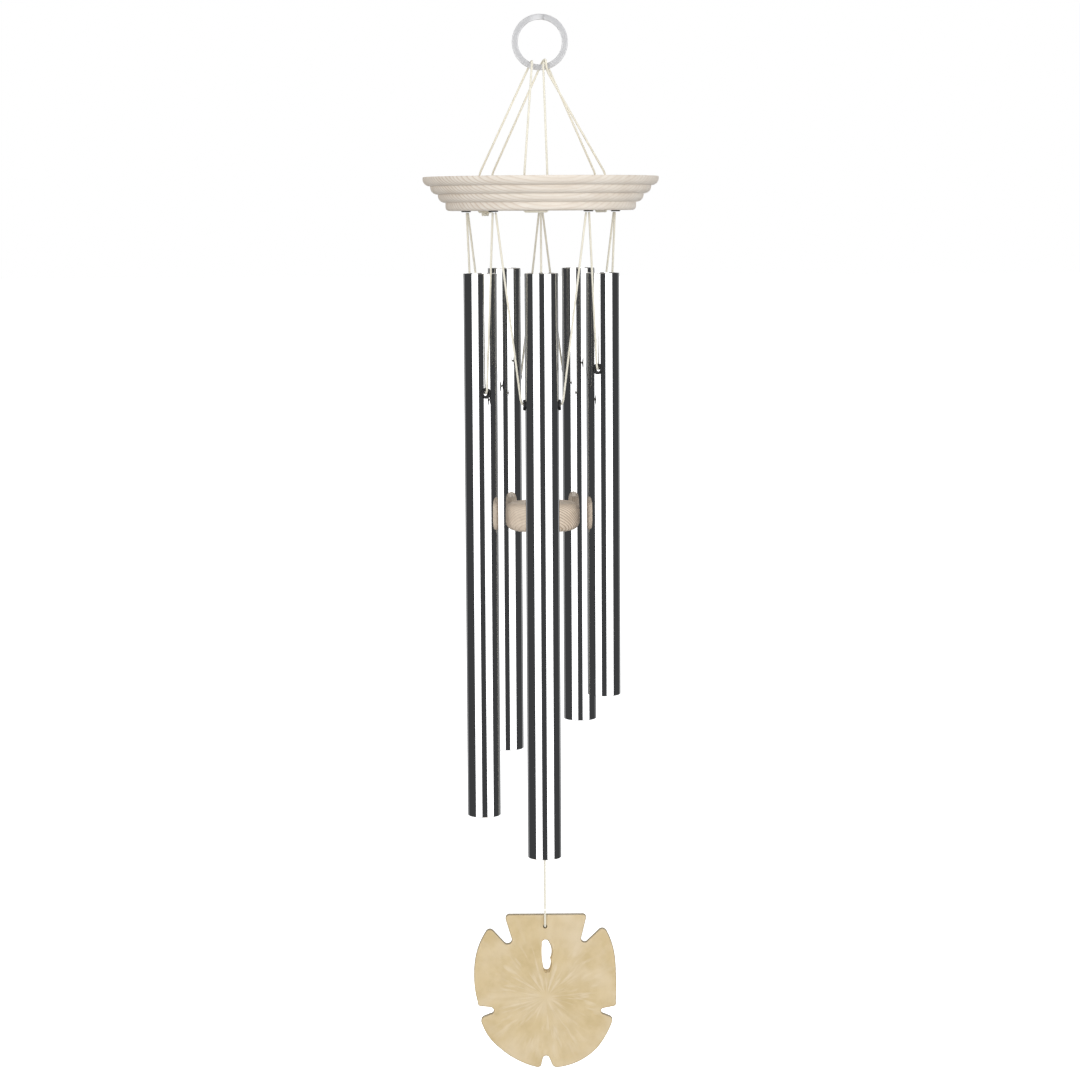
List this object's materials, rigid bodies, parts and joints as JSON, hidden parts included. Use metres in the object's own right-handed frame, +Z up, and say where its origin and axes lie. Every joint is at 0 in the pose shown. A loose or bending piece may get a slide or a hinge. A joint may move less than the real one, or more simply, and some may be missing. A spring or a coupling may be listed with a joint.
{
  "type": "wind chime",
  "caption": "Wind chime: metal tubes hung round a wooden clapper under a turned wooden crown, with a shell-shaped sail below and a split ring to hang it by.",
  "frame": {"origin": "top of the ring's inner edge, where a hook carries the chime", "axes": "+Z up, the chime hanging down along -Z; its front, with the longest tube, faces -Y"},
  "size_m": [0.134, 0.134, 0.61],
  "materials": {
    "ring_steel": "satin nickel",
    "crown_wood": "bleached ash, sanded",
    "clapper_wood": "pale oak, sanded",
    "eyelet_rubber": "black, smooth",
    "grommet_rubber": "black, smooth",
    "tube_aluminium": "drawn and polished",
    "cord": "braided cream cord",
    "sail_resin": "cast, sand coloured, satin"
  },
  "bodies": {
    "ring": {"hanging_ring": "ring_steel"},
    "hanger": {"hanger_cord_left": "cord", "hanger_cord_middle": "cord", "hanger_cord_right": "cord"},
    "crown": {"crown_disc": "crown_wood", "crown_eyelets": "eyelet_rubber", "hanger_underrun_front": "cord", "hanger_underrun_right": "cord", "hanger_knot": "cord", "tube_cord_knots": "cord"},
    "cord_front": {"tube_cord_front": "cord"},
    "tube_front": {"tube_front": "tube_aluminium", "grommets_front": "grommet_rubber"},
    "cord_left_front": {"tube_cord_left_front": "cord"},
    "tube_left_front": {"tube_left_front": "tube_aluminium", "grommets_left_front": "grommet_rubber"},
    "cord_left_back": {"tube_cord_left_back": "cord"},
    "tube_left_back": {"tube_left_back": "tube_aluminium", "grommets_left_back": "grommet_rubber"},
    "cord_right_back": {"tube_cord_right_back": "cord"},
    "tube_right_back": {"tube_right_back": "tube_aluminium", "grommets_right_back": "grommet_rubber"},
    "cord_right_front": {"tube_cord_right_front": "cord"},
    "tube_right_front": {"tube_right_front": "tube_aluminium", "grommets_right_front": "grommet_rubber"},
    "clapper_cord_knot": {"clapper_cord_knot": "cord"},
    "clapper_cord": {"clapper_cord": "cord"},
    "clapper": {"clapper": "clapper_wood"},
    "clapper_knot": {"clapper_knot": "cord"},
    "sail_cord": {"sail_cord": "cord"},
    "sail_tie": {"sail_tie": "cord"},
    "sail": {"sail": "sail_resin"}
  },
  "joints": [
    {"name": "crown_swing", "type": "hinge", "parent": "ring", "child": "hanger", "pos_m": [0, 0, -0.02624], "axis": [1, 0, 0], "range_deg": [-20, 20]},
    {"name": "crown_tilt", "type": "hinge", "parent": "hanger", "child": "crown", "pos_m": [0, 0, -0.0879], "axis": [0, 1, 0], "range_deg": [-3, 3]},
    {"name": "front_tube_swing", "type": "hinge", "parent": "crown", "child": "cord_front", "pos_m": [0, -0.03641, -0.10798], "axis": [1, 0, 0], "range_deg": [-14, 1.2]},
    {"name": "front_tube_rock", "type": "hinge", "parent": "cord_front", "child": "tube_front", "pos_m": [0, -0.0364, -0.2154], "axis": [1, 0, 0], "range_deg": [-8, 1.6]},
    {"name": "left_front_tube_swing", "type": "hinge", "parent": "crown", "child": "cord_left_front", "pos_m": [-0.03462, -0.01125, -0.10798], "axis": [-0.309, 0.9511, 0], "range_deg": [-1.2, 14]},
    {"name": "left_front_tube_rock", "type": "hinge", "parent": "cord_left_front", "child": "tube_left_front", "pos_m": [-0.03462, -0.01125, -0.2096], "axis": [-0.309, 0.9511, 0], "range_deg": [-1.6, 8]},
    {"name": "left_back_tube_swing", "type": "hinge", "parent": "crown", "child": "cord_left_back", "pos_m": [-0.0214, 0.02945, -0.10798], "axis": [0.809, 0.5878, 0], "range_deg": [-1.2, 14]},
    {"name": "left_back_tube_rock", "type": "hinge", "parent": "cord_left_back", "child": "tube_left_back", "pos_m": [-0.0214, 0.02945, -0.203], "axis": [0.809, 0.5878, 0], "range_deg": [-1.6, 8]},
    {"name": "right_back_tube_swing", "type": "hinge", "parent": "crown", "child": "cord_right_back", "pos_m": [0.0214, 0.02945, -0.10798], "axis": [0.809, -0.5878, 0], "range_deg": [-1.2, 14]},
    {"name": "right_back_tube_rock", "type": "hinge", "parent": "cord_right_back", "child": "tube_right_back", "pos_m": [0.0214, 0.02945, -0.1986], "axis": [0.809, -0.5878, 0], "range_deg": [-1.6, 8]},
    {"name": "right_front_tube_swing", "type": "hinge", "parent": "crown", "child": "cord_right_front", "pos_m": [0.03462, -0.01125, -0.10798], "axis": [0.309, 0.9511, 0], "range_deg": [-14, 1.2]},
    {"name": "right_front_tube_rock", "type": "hinge", "parent": "cord_right_front", "child": "tube_right_front", "pos_m": [0.03462, -0.01125, -0.1962], "axis": [0.309, 0.9511, 0], "range_deg": [-8, 1.6]},
    {"name": "clapper_swing_fore_aft", "type": "hinge", "parent": "crown", "child": "clapper_cord_knot", "pos_m": [0, 0, -0.0919], "axis": [1, 0, 0], "range_deg": [-1.4, 1.8]},
    {"name": "clapper_swing_side", "type": "hinge", "parent": "clapper_cord_knot", "child": "clapper_cord", "pos_m": [0, 0, -0.0919], "axis": [0, 1, 0], "range_deg": [-1.6, 1.6]},
    {"name": "clapper_spin", "type": "hinge", "parent": "clapper_cord", "child": "clapper", "pos_m": [0, 0, -0.2893], "axis": [0, 0, 1], "continuous": true},
    {"name": "sail_swing_fore_aft", "type": "hinge", "parent": "clapper_cord", "child": "clapper_knot", "pos_m": [0, 0, -0.29152], "axis": [1, 0, 0], "range_deg": [-7, 7]},
    {"name": "sail_swing_side", "type": "hinge", "parent": "clapper_knot", "child": "sail_cord", "pos_m": [0, 0, -0.29152], "axis": [0, 1, 0], "range_deg": [-7, 7]},
    {"name": "sail_spin", "type": "hinge", "parent": "sail_cord", "child": "sail_tie", "pos_m": [0, 0, -0.5121], "axis": [0, 0, 1], "continuous": true},
    {"name": "sail_rock", "type": "hinge", "parent": "sail_tie", "child": "sail", "pos_m": [0, 0.00075, -0.5222], "axis": [0, 1, 0], "range_deg": [-20, 20]}
  ]
}
